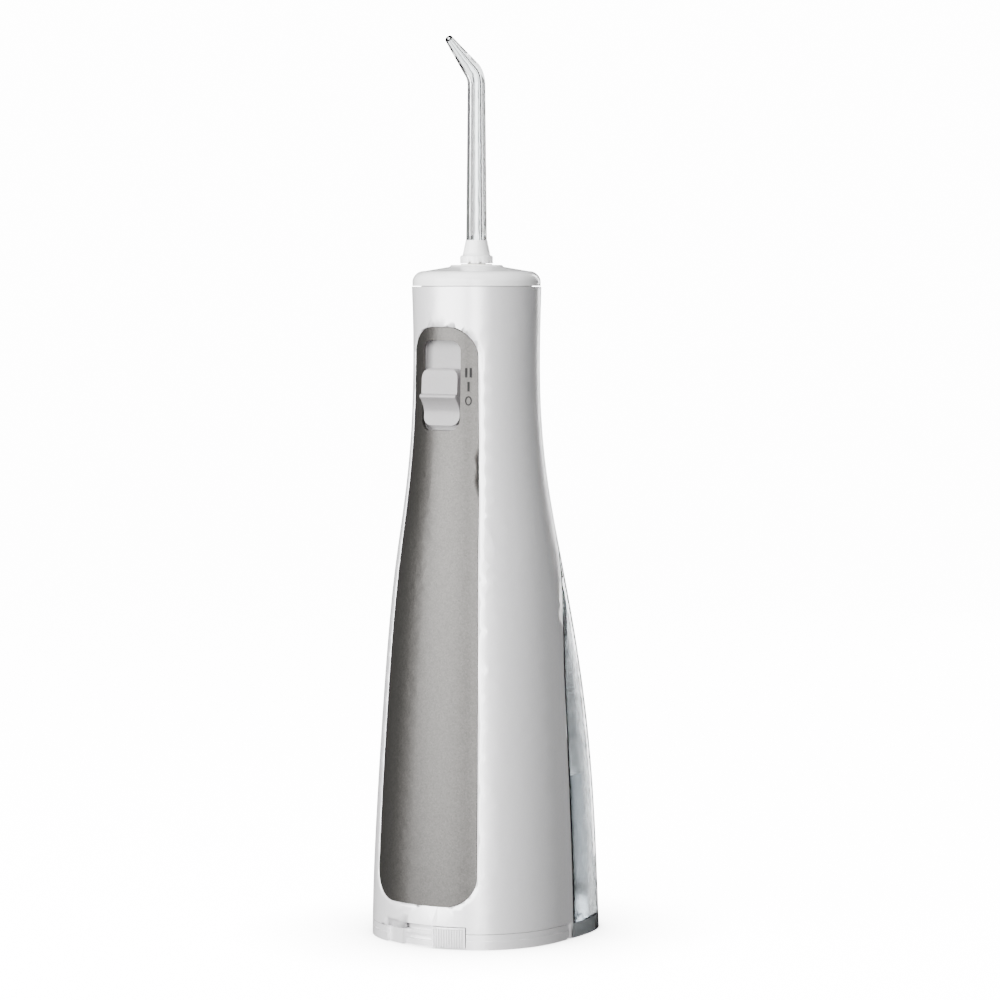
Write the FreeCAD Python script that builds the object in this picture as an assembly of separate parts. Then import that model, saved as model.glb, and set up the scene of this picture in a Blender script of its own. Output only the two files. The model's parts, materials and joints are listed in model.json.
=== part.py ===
"""Cordless water flosser, modelled as the separate pieces that it is assembled from.

Millimetres, +Z up, front towards -Y. Everything is drawn about the vertical axis of the neck and
shifted at export, so that the origin is the centre of the footprint, on the surface it stands on.
"""
import FreeCAD, Part
import functools
import math
import os
from FreeCAD import Vector

# ---------------------------------------------------------------- driving dimensions
BIG = 120.0                     # larger than the object, for trimming
WALL = 2.6                      # housing wall
SKIN = 1.2                      # silver front panel
TANK_WALL = 2.4
SEAM = 0.2                      # shadow gap between outer pieces
RUN = 0.06                      # radial running fit
DOOR_TOP = 5.0                  # battery door rim and welded tank base
NECK_TOP = 213.8
CAP_BASE = 214.0
NECK_RADIUS = 21.3
# height, half width, rear depth, front roundness power, rear roundness power
STATIONS = (
    (-2.0, 33.6, 40.6, 2.2, 3.2),
    (30.0, 32.8, 39.5, 2.2, 3.1),
    (64.0, 31.1, 37.3, 2.15, 3.0),
    (94.0, 29.2, 34.0, 2.1, 2.6),
    (124.0, 26.4, 28.8, 2.05, 2.2),
    (144.0, 23.8, 25.0, 2.0, 2.05),
    (165.0, 21.7, 22.0, 2.0, 2.0),
    (186.0, 20.9, 20.9, 2.0, 2.0),
    (216.0, 21.4, 21.4, 2.0, 2.0),
)
RING_POINTS = 32

BAY_FRONT = 7.5                 # front face of the tank, straight up to BAY_KNEE
BAY_KNEE = 75.0
BAY_RADIUS = 200.0              # above the knee the face curves to the rear
PARTITION = 1.9

SLOT_HALF = 7.5                 # thumb switch slot
SLOT_LOW = 167.2
SLOT_HIGH = 196.4
SLOT_CORNER = 3.4
FLOOR_Y = -16.8                 # floor of the switch recess
TRAY_BACK = -15.3
SLIDER_LOW = 168.8
SLIDER_HIGH = 187.2
SLIDER_TRAVEL = 8.7
SLIDER_CORNER = 3.0
SLIDER_HALF = SLOT_HALF - 0.4
RIDGE_Z = 178.2                 # thumb ridge across the slider
RIDGE_Y = -21.9
BOARD_BACK = -13.0              # circuit board
BOARD_FRONT = -14.6

PANEL_LOW = 13.7
PANEL_HIGH = 200.6
PANEL_SPREAD = 0.595            # panel half width over body half width
PANEL_CORNER = 9.5
NIB = 0.5                       # half width of the prising notch under the panel

HINGE_Y = 2.9                   # battery door hinge
HINGE_Z = 2.3
BARREL = 2.3
PIN_RADIUS = 0.9
PIN_END = 23.0
EAR_IN = 18.3                   # housing ears that carry the hinge pin
EAR_OUT = 23.5
LATCH_RADIUS = 34.3
LATCH_FROM = 10.0               # degrees round from the front, towards +X
LATCH_TO = 29.0
LATCH_TOP = 7.1
LATCH_RIBS = 12
TRACK_FROM = -24.0              # shallow end of the latch track, then the deep run
TRACK_DEEP = -11.5
TRACK_TO = 29.6
TRACK_TOP = 7.4
TRACK_FLOOR = 33.1              # radius of the shallow end
RIM_LINE = 2.9                  # fine groove round the battery door
RIM_GROOVE = 0.3

CELL_RADIUS = 7.1
CELL_LOW = 9.6
CELL_LENGTH = 50.5
CELL_PITCH = 15.4
CELL_Y = -9.0
LEAF_RADIUS = 4.0               # bowed contact under each cell
HOLDER_LOW = 8.0
HOLDER_TOP = 61.8
WELL_FLOOR = 3.2                # inside of the battery door
PLUG_TOP = 7.0

SHAFT_RADIUS = 1.0
AXLE_RADIUS = 1.5
BUSH_RADIUS = 2.6
CRANK_RADIUS = 1.2
WRIST_RADIUS = 0.8
SCREW_RADIUS = 0.8
DRIVE_Y = -7.4                  # plane that holds motor, gear and cylinder axes
MOTOR_Z = 73.0
MOTOR_BACK = -18.0
MOTOR_SCREW = 6.0               # screw to shaft
MODULE = 0.6
PINION_TEETH = 10
GEAR_TEETH = 40
GEAR_Z = MOTOR_Z + MODULE * (PINION_TEETH + GEAR_TEETH) / 2 + 0.05
GEAR_X = 5.5
GEAR_WIDTH = 3.0
THROW = 1.8
ROD_LENGTH = 16.0
CRANK_Z = GEAR_Z + THROW        # at rest the crank stands at the top of its turn
WRIST_Z = CRANK_Z + ROD_LENGTH
BORE = 4.0
CYLINDER_LOW = 112.3
CYLINDER_HIGH = 131.0
HEAD_HIGH = 140.0
INLET_Y = DRIVE_Y + 7.5         # inlet nipple on the pump head

PORT_Y = 13.9                   # suction port between tank and housing
PORT_LOW = 116.0
PORT_HIGH = 137.0
SPIGOT_LOW = 118.0
TUBE_TOP = 113.0

FILL_LOW = 63.0                 # fill door
FILL_HIGH = 105.0
FILL_HALF = 15.0
FILL_HINGE_Y = 37.0
FILL_HINGE_Z = 60.4
FILL_BARREL = 1.6
FILL_PIN = 0.7
FILL_PIN_END = 11.5
KNUCKLE = 8.3                   # half width of the gap between the tank's hinge lugs

SOCKET_TOP = 221.2
SOCKET_RADIUS = 5.2
SOCKET_BORE = 3.05
NOZZLE_BORE = 1.5
COLLAR_LOW = 221.4
COLLAR_RADIUS = 5.4
COLLAR_TEETH = 9                # castellations round the collar's foot
COLLAR_HIGH = 229.0
BEND_Z = 279.6                  # where the straight tube ends
BEND_ANGLE = 54.0
BEND_RADIUS = 6.0
TIP_TOP = 295.0
TUBE_FOOT = 3.45                # outer radius at the collar, the bend and the tip
TUBE_BEND = 2.95
TUBE_TIP = 1.3

REAR = 40.55                    # rear of the tank base, on the ground
CENTRE_Y = -(REAR - LATCH_RADIUS * math.cos(math.radians(LATCH_FROM))) / 2

NODES = {}


# ---------------------------------------------------------------- small tools
def ring(station, inset):
    """One horizontal section: a superellipse whose rear half is deeper than its front half."""
    height, half, rear, front_power, rear_power = station
    points = []
    for step in range(RING_POINTS):
        angle = 2 * math.pi * step / RING_POINTS
        c = math.cos(angle)
        s = math.sin(angle)
        power = rear_power if s > 0 else front_power
        depth = (rear if s > 0 else half) - inset
        x = math.copysign((half - inset) * abs(c) ** (2 / power), c)
        y = math.copysign(depth * abs(s) ** (2 / power), s)
        points.append(Vector(x, y, height))
    curve = Part.BSplineCurve()
    curve.interpolate(points, PeriodicFlag=True)
    return Part.Wire(curve.toShape())


@functools.lru_cache(maxsize=None)
def body(inset):
    """The whole outer form, drawn in by a wall thickness."""
    return Part.makeLoft([ring(station, inset) for station in STATIONS], True)


def slab(low, high):
    return Part.makeBox(2 * BIG, 2 * BIG, high - low, Vector(-BIG, -BIG, low))


def block(x0, x1, y0, y1, z0, z1):
    return Part.makeBox(x1 - x0, y1 - y0, z1 - z0, Vector(x0, y0, z0))


def post(radius, low, high, x=0.0, y=0.0):
    return Part.makeCylinder(radius, high - low, Vector(x, y, low))


def sleeve(outer, inner, low, high, x=0.0, y=0.0):
    return post(outer, low, high, x, y).cut(post(inner, low - 1, high + 1, x, y))


def bar(radius, x0, x1, y, z):
    """A round bar along X."""
    return Part.makeCylinder(radius, x1 - x0, Vector(x0, y, z), Vector(1, 0, 0))


def rounded_window(half, low, high, corner, depth_from, depth_to, top_corner=None):
    """A rounded rectangle in X and Z, extruded along Y."""
    block_shape = block(-half, half, depth_from, depth_to, low, high)
    lower = []
    upper = []
    for edge in block_shape.Edges:
        middle = edge.CenterOfMass
        if abs(middle.y - (depth_from + depth_to) / 2) < 1e-6:
            (upper if middle.z > (low + high) / 2 else lower).append(edge)
    shape = block_shape.makeFillet(corner, lower)
    uppers = []
    for edge in shape.Edges:
        middle = edge.CenterOfMass
        upright = abs(edge.Vertexes[0].X - edge.Vertexes[-1].X) < 1e-6
        if upright and abs(middle.y - (depth_from + depth_to) / 2) < 1e-6 and middle.z > high - 1e-6:
            uppers.append(edge)
    return shape.makeFillet(top_corner or corner, uppers)


def sector(inner, outer, from_degrees, to_degrees, low, high):
    """Part of a ring about the neck axis; the angles run from the front towards +X."""
    span = to_degrees - from_degrees
    solid = Part.makeCylinder(outer, high - low, Vector(0, 0, low), Vector(0, 0, 1), span)
    solid.rotate(Vector(0, 0, 0), Vector(0, 0, 1), from_degrees - 90)
    return solid.cut(post(inner, low - 1, high + 1))


def hose(points, corner, outer, inner):
    """A tube along straight runs joined by tangent arcs."""
    edges = []
    start = points[0]
    for before, here, after in zip(points, points[1:], points[2:]):
        into = (here - before).normalize()
        out = (after - here).normalize()
        turn = into.getAngle(out)
        reach = corner * math.tan(turn / 2)
        first = here - into * reach
        last = here + out * reach
        inward = (out - into).normalize()
        middle = here + inward * (corner / math.cos(turn / 2) - corner)
        edges.append(Part.LineSegment(start, first).toShape())
        edges.append(Part.Arc(first, middle, last).toShape())
        start = last
    edges.append(Part.LineSegment(start, points[-1]).toShape())
    path = Part.Wire(edges)
    direction = points[1] - points[0]
    solids = []
    for radius in (outer, inner):
        circle = Part.Wire(Part.makeCircle(radius, points[0], direction))
        solids.append(path.makePipeShell([circle], True, False))
    return solids[0].cut(solids[1])


def gear(teeth, width, x, phase):
    """Stub-toothed spur gear about the X axis, with backlash so that it never binds."""
    pitch = MODULE * teeth / 2
    base = pitch * math.cos(math.radians(20))
    root = pitch - 0.85 * MODULE
    tip = pitch + 0.7 * MODULE
    backlash = 0.05 / pitch

    def flank(radius):
        involute = math.tan(math.radians(20)) - math.radians(20)
        if radius > base:
            pressure = math.acos(base / radius)
            involute -= math.tan(pressure) - pressure
        return math.pi / 2 / teeth + involute - backlash

    radii = (root, (root + pitch) / 2, pitch, tip)
    points = []
    for tooth in range(teeth):
        middle = 2 * math.pi * tooth / teeth + math.radians(phase)
        for side, order in ((-1, radii), (1, radii[::-1])):
            for radius in order:
                angle = middle + side * flank(radius)
                points.append(Vector(x, radius * math.cos(angle), radius * math.sin(angle)))
    face = Part.Face(Part.makePolygon(points + points[:1]))
    return face.extrude(Vector(width, 0, 0))


@functools.lru_cache(maxsize=None)
def bay(shift):
    """All the space behind the seam between handle and tank; shift moves the seam to the rear."""
    front = BAY_FRONT + shift
    centre = BAY_FRONT + BAY_RADIUS
    radius = BAY_RADIUS - shift
    reach = math.radians(27)

    def on_arc(angle):
        return Vector(-BIG, centre - radius * math.cos(angle), BAY_KNEE + radius * math.sin(angle))

    top = on_arc(reach)
    foot = Vector(-BIG, front, -BIG)
    knee = Vector(-BIG, front, BAY_KNEE)
    edges = [
        Part.LineSegment(foot, knee).toShape(),
        Part.Arc(knee, on_arc(reach / 2), top).toShape(),
        Part.LineSegment(top, Vector(-BIG, BIG, top.z)).toShape(),
        Part.LineSegment(Vector(-BIG, BIG, top.z), Vector(-BIG, BIG, -BIG)).toShape(),
        Part.LineSegment(Vector(-BIG, BIG, -BIG), foot).toShape(),
    ]
    return Part.Face(Part.Wire(edges)).extrude(Vector(2 * BIG, 0, 0))


def keep(name, shape):
    """Move a finished piece to the object's own origin and write it."""
    placed = shape.copy()
    placed.translate(Vector(0, CENTRE_Y, 0))
    NODES[name] = placed


OUTER = body(0.0)
INNER = body(WALL)


def half_width(height):
    """Half width of the outer form at a height, between the stations."""
    for lower, upper in zip(STATIONS, STATIONS[1:]):
        if lower[0] <= height <= upper[0]:
            share = (height - lower[0]) / (upper[0] - lower[0])
            return lower[1] + share * (upper[1] - lower[1])
    return NECK_RADIUS


def panel_window(grow, depth_to):
    """The tall arched outline of the front panel, which widens with the body."""
    levels = [PANEL_LOW + (PANEL_HIGH - PANEL_LOW) * step / 6 for step in range(7)]
    right = [Vector(PANEL_SPREAD * half_width(z) + grow, -BIG, z) for z in levels]
    left = [Vector(-point.x, point.y, point.z) for point in right]
    right[0].z -= grow
    left[0].z -= grow
    right[-1].z += grow
    left[-1].z += grow
    sides = []
    for points in (right, left[::-1]):
        curve = Part.BSplineCurve()
        curve.interpolate(points)
        sides.append(curve.toShape())
    wire = Part.Wire([
        sides[0],
        Part.LineSegment(right[-1], left[-1]).toShape(),
        sides[1],
        Part.LineSegment(left[0], right[0]).toShape(),
    ])
    prism = Part.Face(wire).extrude(Vector(0, BIG + depth_to, 0))
    for height, corner in ((PANEL_LOW - grow, PANEL_CORNER + grow), (PANEL_HIGH + grow, PANEL_CORNER + grow)):
        corners = [
            edge for edge in prism.Edges
            if abs(edge.CenterOfMass.z - height) < 1e-3 and abs(edge.CenterOfMass.x) > 5
            and edge.Length > BIG / 2
        ]
        prism = prism.makeFillet(corner, corners)
    return prism


# ---------------------------------------------------------------- handle shells
def make_housing():
    shell = OUTER.common(slab(DOOR_TOP + SEAM, NECK_TOP))
    foot = OUTER.common(slab(0.3, DOOR_TOP + SEAM + 0.1)).common(bay(-PARTITION))
    shell = shell.fuse(foot).cut(bay(0.0))
    shell = shell.cut(INNER.cut(bay(-PARTITION)))
    port_boss = post(6.2, PORT_LOW - 2, PORT_HIGH + 4, 0, PORT_Y)
    shell = shell.fuse(port_boss.common(INNER).cut(bay(0.0)))
    shell = shell.cut(post(4.1, 0, PORT_HIGH + 8, 0, PORT_Y))
    shell = shell.cut(panel_window(SEAM, -5).cut(body(SKIN + 0.05)))
    window = rounded_window(9.8, SLOT_LOW - 4.2, SLOT_HIGH + 4.2, 5.0, -BIG, -12)
    shell = shell.cut(window)
    shell = shell.cut(sector(30.0, BIG, TRACK_DEEP, TRACK_TO, 0, TRACK_TOP))
    shell = shell.cut(sector(TRACK_FLOOR, BIG, TRACK_FROM, TRACK_DEEP + 0.1, 0, TRACK_TOP))
    nib = block(-NIB, NIB, -BIG, -BAY_FRONT, PANEL_LOW - 2.2 * NIB, PANEL_LOW)
    shell = shell.cut(nib.cut(body(SKIN)))
    for x0, x1 in ((-EAR_OUT, -EAR_IN), (EAR_IN, EAR_OUT)):
        ear = bar(BARREL, x0, x1, HINGE_Y, HINGE_Z)
        arm = block(x0, x1, HINGE_Y, BAY_FRONT - PARTITION + 0.2, HINGE_Z - 1, DOOR_TOP + 3)
        shell = shell.fuse(ear).fuse(arm)
    shell = shell.cut(bar(PIN_RADIUS, -PIN_END, PIN_END, HINGE_Y, HINGE_Z))
    keep("housing", shell)


def make_panel():
    skin = OUTER.cut(body(SKIN)).common(slab(PANEL_LOW - 1, PANEL_HIGH + 1))
    skin = skin.common(panel_window(0.0, -5))
    skin = skin.cut(rounded_window(SLOT_HALF, SLOT_LOW, SLOT_HIGH, SLOT_CORNER, -BIG, -5))
    keep("front_panel", skin)


def thumb_profile(back):
    """Section of the slider: flat upper face, proud ridge and a hollow for the thumb below it."""
    def at(y, z):
        return Vector(-SLIDER_HALF, y, z)

    hollow = Part.BSplineCurve()
    hollow.interpolate([
        at(RIDGE_Y, RIDGE_Z - 0.5), at(-20.6, RIDGE_Z - 2.2), at(-19.6, RIDGE_Z - 4.8),
        at(-19.7, RIDGE_Z - 7.2), at(-20.2, SLIDER_LOW),
    ])
    corners = [
        at(-20.2, SLIDER_LOW), at(back, SLIDER_LOW), at(back, SLIDER_HIGH), at(-19.9, SLIDER_HIGH),
        at(-20.6, SLIDER_HIGH - 0.8), at(-21.0, RIDGE_Z + 0.9),
    ]
    edges = [hollow.toShape()]
    edges += [Part.LineSegment(a, b).toShape() for a, b in zip(corners, corners[1:])]
    brow = at(RIDGE_Y + 0.2, RIDGE_Z + 0.6)
    edges.append(Part.LineSegment(corners[-1], brow).toShape())
    crest = Part.Arc(brow, at(RIDGE_Y - 0.1, RIDGE_Z + 0.15), at(RIDGE_Y, RIDGE_Z - 0.5))
    edges.append(crest.toShape())
    return Part.Face(Part.Wire(edges))


def make_switch():
    tray = rounded_window(9.6, SLOT_LOW - 4, SLOT_HIGH + 4, 4.8, -BIG, TRAY_BACK)
    tray = tray.common(body(SKIN + 0.1))
    tray = tray.cut(rounded_window(SLOT_HALF + 0.1, SLOT_LOW - 0.1, SLOT_HIGH + 0.1,
                                   SLOT_CORNER, -BIG, FLOOR_Y))
    tray = tray.cut(block(-8.3, 8.3, FLOOR_Y - 1.1, FLOOR_Y, SLOT_LOW, SLOT_HIGH))
    keep("switch_tray", tray)
    middle = (SLIDER_LOW + SLIDER_HIGH) / 2
    back = FLOOR_Y - 0.15
    button = thumb_profile(back).extrude(Vector(2 * SLIDER_HALF, 0, 0))
    button = button.common(rounded_window(SLIDER_HALF, SLIDER_LOW, SLIDER_HIGH, SLIDER_CORNER, -BIG, back))
    flange = block(-8.1, 8.1, FLOOR_Y - 0.9, back, SLIDER_LOW + 5, SLIDER_HIGH - 6)
    button = button.fuse(flange)
    magnet = block(-2.5, 2.5, FLOOR_Y - 1.9, back, middle - 2, middle + 2)
    keep("switch_slider", button.cut(magnet))
    keep("slider_magnet", magnet)
    board = block(-9, 9, BOARD_FRONT, BOARD_BACK, 152, 199)
    sensors = block(-2, 2, TRAY_BACK + 0.1, BOARD_FRONT, middle - 1.5, middle + 1.5)
    for step in (1, 2):
        spot = middle + step * SLIDER_TRAVEL / 2
        sensors = sensors.fuse(block(-2, 2, TRAY_BACK + 0.1, BOARD_FRONT, spot - 1.2, spot + 1.2))
    keep("circuit_board", board)
    keep("switch_sensors", sensors)


def make_cap():
    points = [
        Vector(5.3, 0, 206), Vector(8.0, 0, 206), Vector(8.0, 0, 216.6), Vector(16.2, 0, 215.4),
        Vector(16.8, 0, 214), Vector(16.8, 0, 205), Vector(18.2, 0, 205), Vector(18.2, 0, CAP_BASE),
        Vector(21.1, 0, CAP_BASE), Vector(21.1, 0, 215.6),
    ]
    edges = [Part.LineSegment(a, b).toShape() for a, b in zip(points, points[1:])]
    shoulder = Part.Arc(points[-1], Vector(20.1, 0, 217.7), Vector(17.2, 0, 218.9)).toShape()
    edges.append(shoulder)
    edges.append(Part.LineSegment(Vector(17.2, 0, 218.9), Vector(8.9, 0, 220.3)).toShape())
    edges.append(Part.LineSegment(Vector(8.9, 0, 220.3), Vector(8.4, 0, 220.9)).toShape())
    edges.append(Part.LineSegment(Vector(8.4, 0, 220.9), Vector(5.3, 0, 220.9)).toShape())
    edges.append(Part.LineSegment(Vector(5.3, 0, 220.9), points[0]).toShape())
    profile = Part.Face(Part.Wire(edges))
    keep("top_cap", profile.revolve(Vector(0, 0, 0), Vector(0, 0, 1), 360))
    retainer = sleeve(16.0, 5.3, 200.8, 202.8)
    for angle in (90, 210, 330):
        x = 12.5 * math.cos(math.radians(angle))
        y = 12.5 * math.sin(math.radians(angle))
        lug = sleeve(3.0, 0.9, 202.8, 215.9 - 12.5 * 0.06, x, y)
        retainer = retainer.fuse(lug.common(post(16.0, 200, 220))).cut(post(0.9, 200, 220, x, y))
    keep("socket_retainer", retainer)


# ---------------------------------------------------------------- turning tip
def make_tip():
    socket = post(SOCKET_RADIUS, 196, SOCKET_TOP).fuse(post(7.2, 203.1, 205.7))
    socket = socket.cut(post(SOCKET_BORE, 190, 204)).cut(post(SOCKET_BORE, 206, 230))
    socket = socket.cut(post(NOZZLE_BORE, 200, 210))
    socket = socket.cut(sleeve(6, 4.4, 208, 210))
    keep("tip_socket", socket)
    keep("socket_seal", Part.makeTorus(4.82, 0.42, Vector(0, 0, 209)))
    spigot = post(2.95, 186, 203).fuse(post(3.4, 190.5, 193))
    spigot = spigot.cut(post(1.4, 180, 210)).cut(sleeve(4, 2.3, 198, 199.6))
    keep("outlet_spigot", spigot)
    keep("spigot_seal", sleeve(3.0, 2.3, 198.1, 199.5))
    ring_low = post(COLLAR_RADIUS, COLLAR_LOW, 223.6).fuse(
        Part.makeCone(COLLAR_RADIUS, COLLAR_RADIUS - 0.4, 0.4, Vector(0, 0, 223.6)))
    for tooth in range(COLLAR_TEETH):
        notch = block(COLLAR_RADIUS - 0.8, BIG, -0.5, 0.5, COLLAR_LOW - 1, COLLAR_LOW + 0.6)
        notch.rotate(Vector(0, 0, 0), Vector(0, 0, 1), 360 * tooth / COLLAR_TEETH)
        ring_low = ring_low.cut(notch)
    cone = Part.makeCone(4.6, 3.55, COLLAR_HIGH - 224, Vector(0, 0, 224))
    shank = post(3.0, 207, COLLAR_LOW)
    collar = ring_low.fuse(cone).fuse(shank).cut(post(2.2, 200, 230))
    keep("tip_collar", collar)
    keep("tip_tube", tip_tube())


def bent_taper(low, foot, straight_end, tip_end):
    """Straight taper, a bend of even thickness towards the front, and a straight taper to the tip."""
    angle = math.radians(BEND_ANGLE)
    out = Vector(0, -math.sin(angle), math.cos(angle))
    corner = Vector(0, -BEND_RADIUS * (1 - math.cos(angle)), BEND_Z + BEND_RADIUS * math.sin(angle))
    reach = (TIP_TOP - TUBE_TIP * math.sin(angle) - corner.z) / math.cos(angle)
    solid = Part.makeCone(foot, straight_end, BEND_Z - low, Vector(0, 0, low))
    disc = Part.Face(Part.Wire(Part.makeCircle(straight_end, Vector(0, 0, BEND_Z))))
    elbow = disc.revolve(Vector(0, -BEND_RADIUS, BEND_Z), Vector(1, 0, 0), BEND_ANGLE)
    return solid.fuse(elbow).fuse(Part.makeCone(straight_end, tip_end, reach, corner, out))


def tip_tube():
    outer = bent_taper(COLLAR_HIGH, TUBE_FOOT, TUBE_BEND, TUBE_TIP).fuse(post(2.15, 207.5, COLLAR_HIGH))
    inner = bent_taper(COLLAR_HIGH, NOZZLE_BORE, 1.2, 0.45).fuse(post(NOZZLE_BORE, 200, COLLAR_HIGH))
    return outer.cut(inner)


# ---------------------------------------------------------------- drive and pump
def make_motor():
    can = bar(10.0, MOTOR_BACK, 3.0, DRIVE_Y, MOTOR_Z).common(
        block(MOTOR_BACK, 3.0, -BIG, BIG, MOTOR_Z - 7.6, MOTOR_Z + 7.6))
    can = can.fuse(bar(3.0, 3.0, 4.4, DRIVE_Y, MOTOR_Z)).cut(
        bar(SHAFT_RADIUS + RUN, -30, 10, DRIVE_Y, MOTOR_Z))
    end_cap = bar(9.4, MOTOR_BACK - 2.4, MOTOR_BACK, DRIVE_Y, MOTOR_Z).common(
        block(-25, 0, -BIG, BIG, MOTOR_Z - 7, MOTOR_Z + 7)).cut(
        bar(SHAFT_RADIUS + RUN, -30, 0, DRIVE_Y, MOTOR_Z))
    screws = []
    for side in (-MOTOR_SCREW, MOTOR_SCREW):
        can = can.cut(bar(SCREW_RADIUS, 0.4, 5.0, DRIVE_Y + side, MOTOR_Z))
        screws.append(bar(SCREW_RADIUS, 0.5, 4.6, DRIVE_Y + side, MOTOR_Z).fuse(
            bar(1.4, 4.6, 5.1, DRIVE_Y + side, MOTOR_Z)))
    keep("motor_can", can)
    keep("motor_end_cap", end_cap)
    keep("motor_screws", Part.makeCompound(screws))
    keep("motor_shaft", bar(SHAFT_RADIUS, MOTOR_BACK - 2.0, 9.4, DRIVE_Y, MOTOR_Z))
    pinion = gear(PINION_TEETH, 4.0, 5.2, 90)
    pinion.translate(Vector(0, DRIVE_Y, MOTOR_Z))
    keep("pinion", pinion.cut(bar(SHAFT_RADIUS, 0, 12, DRIVE_Y, MOTOR_Z)))


def make_crank():
    wheel = gear(GEAR_TEETH, GEAR_WIDTH, GEAR_X, 90 + 180 / GEAR_TEETH)
    wheel.translate(Vector(0, DRIVE_Y, GEAR_Z))
    wheel = wheel.fuse(bar(3.2, GEAR_X + GEAR_WIDTH, 9.9, DRIVE_Y, GEAR_Z))
    wheel = wheel.cut(bar(AXLE_RADIUS, 7.0, 12, DRIVE_Y, GEAR_Z))
    for turn in range(5):
        angle = math.radians(54 + 72 * turn)
        hole = bar(2.2, 0, 12, DRIVE_Y + 7.4 * math.cos(angle), GEAR_Z + 7.4 * math.sin(angle))
        wheel = wheel.cut(hole)
    wheel = wheel.cut(bar(CRANK_RADIUS, 0, 7, DRIVE_Y, CRANK_Z))
    keep("drive_gear", wheel)
    keep("gear_axle", bar(AXLE_RADIUS, 7.0, 13.4, DRIVE_Y, GEAR_Z))
    bush = bar(BUSH_RADIUS, 10.1, 12.6, DRIVE_Y, GEAR_Z)
    keep("axle_bush", bush.cut(bar(AXLE_RADIUS + RUN, 9, 14, DRIVE_Y, GEAR_Z)))
    keep("crank_pin", bar(CRANK_RADIUS, -2.0, 7.0, DRIVE_Y, CRANK_Z))
    slack_z = 2 * THROW + 0.95
    slack_y = THROW + 0.95
    rim = 1.2
    half = 1.4
    rod = bar(2.8, -half, half, DRIVE_Y, CRANK_Z)
    rod = rod.fuse(block(-half, half, DRIVE_Y - 1.5, DRIVE_Y + 1.5, CRANK_Z + 1, WRIST_Z - slack_z))
    rod = rod.fuse(block(-half, half, DRIVE_Y - slack_y - rim, DRIVE_Y + slack_y + rim,
                         WRIST_Z - slack_z - rim, WRIST_Z + slack_z + rim))
    rod = rod.cut(block(-half, half, DRIVE_Y - slack_y, DRIVE_Y + slack_y,
                        WRIST_Z - slack_z, WRIST_Z + slack_z))
    rod = rod.cut(bar(CRANK_RADIUS + RUN, -3, 3, DRIVE_Y, CRANK_Z))
    keep("connecting_rod", rod)
    skirt = WRIST_Z + slack_z + rim + 2 * THROW + 0.4
    plunger = post(BORE - 0.05, WRIST_Z - 2, skirt + 14.4, 0, DRIVE_Y)
    plunger = plunger.cut(block(-1.8, 1.8, DRIVE_Y - 6, DRIVE_Y + 6, WRIST_Z - 3, skirt))
    flat = block(-6, 6, DRIVE_Y + 2, DRIVE_Y + 6, WRIST_Z - 3, skirt)
    plunger = plunger.cut(flat).cut(flat.mirror(Vector(0, DRIVE_Y, 0), Vector(0, 1, 0)))
    plunger = plunger.cut(bar(WRIST_RADIUS, -6, 6, DRIVE_Y, WRIST_Z))
    groove = sleeve(BORE + 1, BORE - 1.0, skirt + 11, skirt + 12.8, 0, DRIVE_Y)
    keep("piston", plunger.cut(groove))
    keep("piston_seal", sleeve(BORE - 0.02, BORE - 1.0, skirt + 11.1, skirt + 12.7, 0, DRIVE_Y))
    keep("wrist_pin", bar(WRIST_RADIUS, -3.6, 3.6, DRIVE_Y, WRIST_Z))


def make_pump():
    cylinder = post(9.0, CYLINDER_LOW, CYLINDER_LOW + 2, 0, DRIVE_Y).fuse(
        post(6.2, CYLINDER_LOW, CYLINDER_HIGH - 2, 0, DRIVE_Y)).fuse(
        post(8.0, CYLINDER_HIGH - 2, CYLINDER_HIGH, 0, DRIVE_Y))
    head = post(8.0, CYLINDER_HIGH, HEAD_HIGH - 3, 0, DRIVE_Y).fuse(
        post(2.4, HEAD_HIGH - 3, HEAD_HIGH + 3, 0, DRIVE_Y))
    head = head.fuse(block(-3.5, 3.5, DRIVE_Y, DRIVE_Y + 10.2, CYLINDER_HIGH, HEAD_HIGH - 3))
    head = head.cut(post(1.2, CYLINDER_HIGH - 1, HEAD_HIGH + 4, 0, DRIVE_Y))
    head = head.fuse(post(2.0, HEAD_HIGH - 3, HEAD_HIGH + 1, 0, INLET_Y))
    head = head.cut(post(2.2, 132.4, 135.2, 0, DRIVE_Y)).cut(post(2.2, 131.0, 132.0, 0, DRIVE_Y + 5))
    head = head.cut(post(1.2, 131.5, 134.2, 0, DRIVE_Y + 5)).cut(post(1.2, 134.2, 142, 0, INLET_Y))
    channel = Part.makeCylinder(1.2, INLET_Y - DRIVE_Y - 5, Vector(0, DRIVE_Y + 5, 134.2), Vector(0, 1, 0))
    head = head.cut(channel)
    screws = []
    bores = []
    for side in (-1, 1):
        bores.append(post(SCREW_RADIUS, CYLINDER_HIGH - 2, HEAD_HIGH, side * 6.2, DRIVE_Y))
        screws.append(post(SCREW_RADIUS, CYLINDER_HIGH - 2, HEAD_HIGH - 3, side * 6.2, DRIVE_Y).fuse(
            post(1.5, HEAD_HIGH - 3, HEAD_HIGH - 2, side * 6.2, DRIVE_Y)))
    for hole in bores:
        cylinder = cylinder.cut(hole)
        head = head.cut(hole)
    cylinder = cylinder.cut(post(BORE, CYLINDER_LOW - 1, CYLINDER_HIGH + 1, 0, DRIVE_Y))
    keep("pump_cylinder", cylinder)
    keep("cylinder_head", head)
    keep("head_screws", Part.makeCompound(screws))
    keep("inlet_valve", post(2.1, 131.1, 131.6, 0, DRIVE_Y + 5))
    keep("outlet_valve", post(2.1, 132.5, 133.1, 0, DRIVE_Y))


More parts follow.
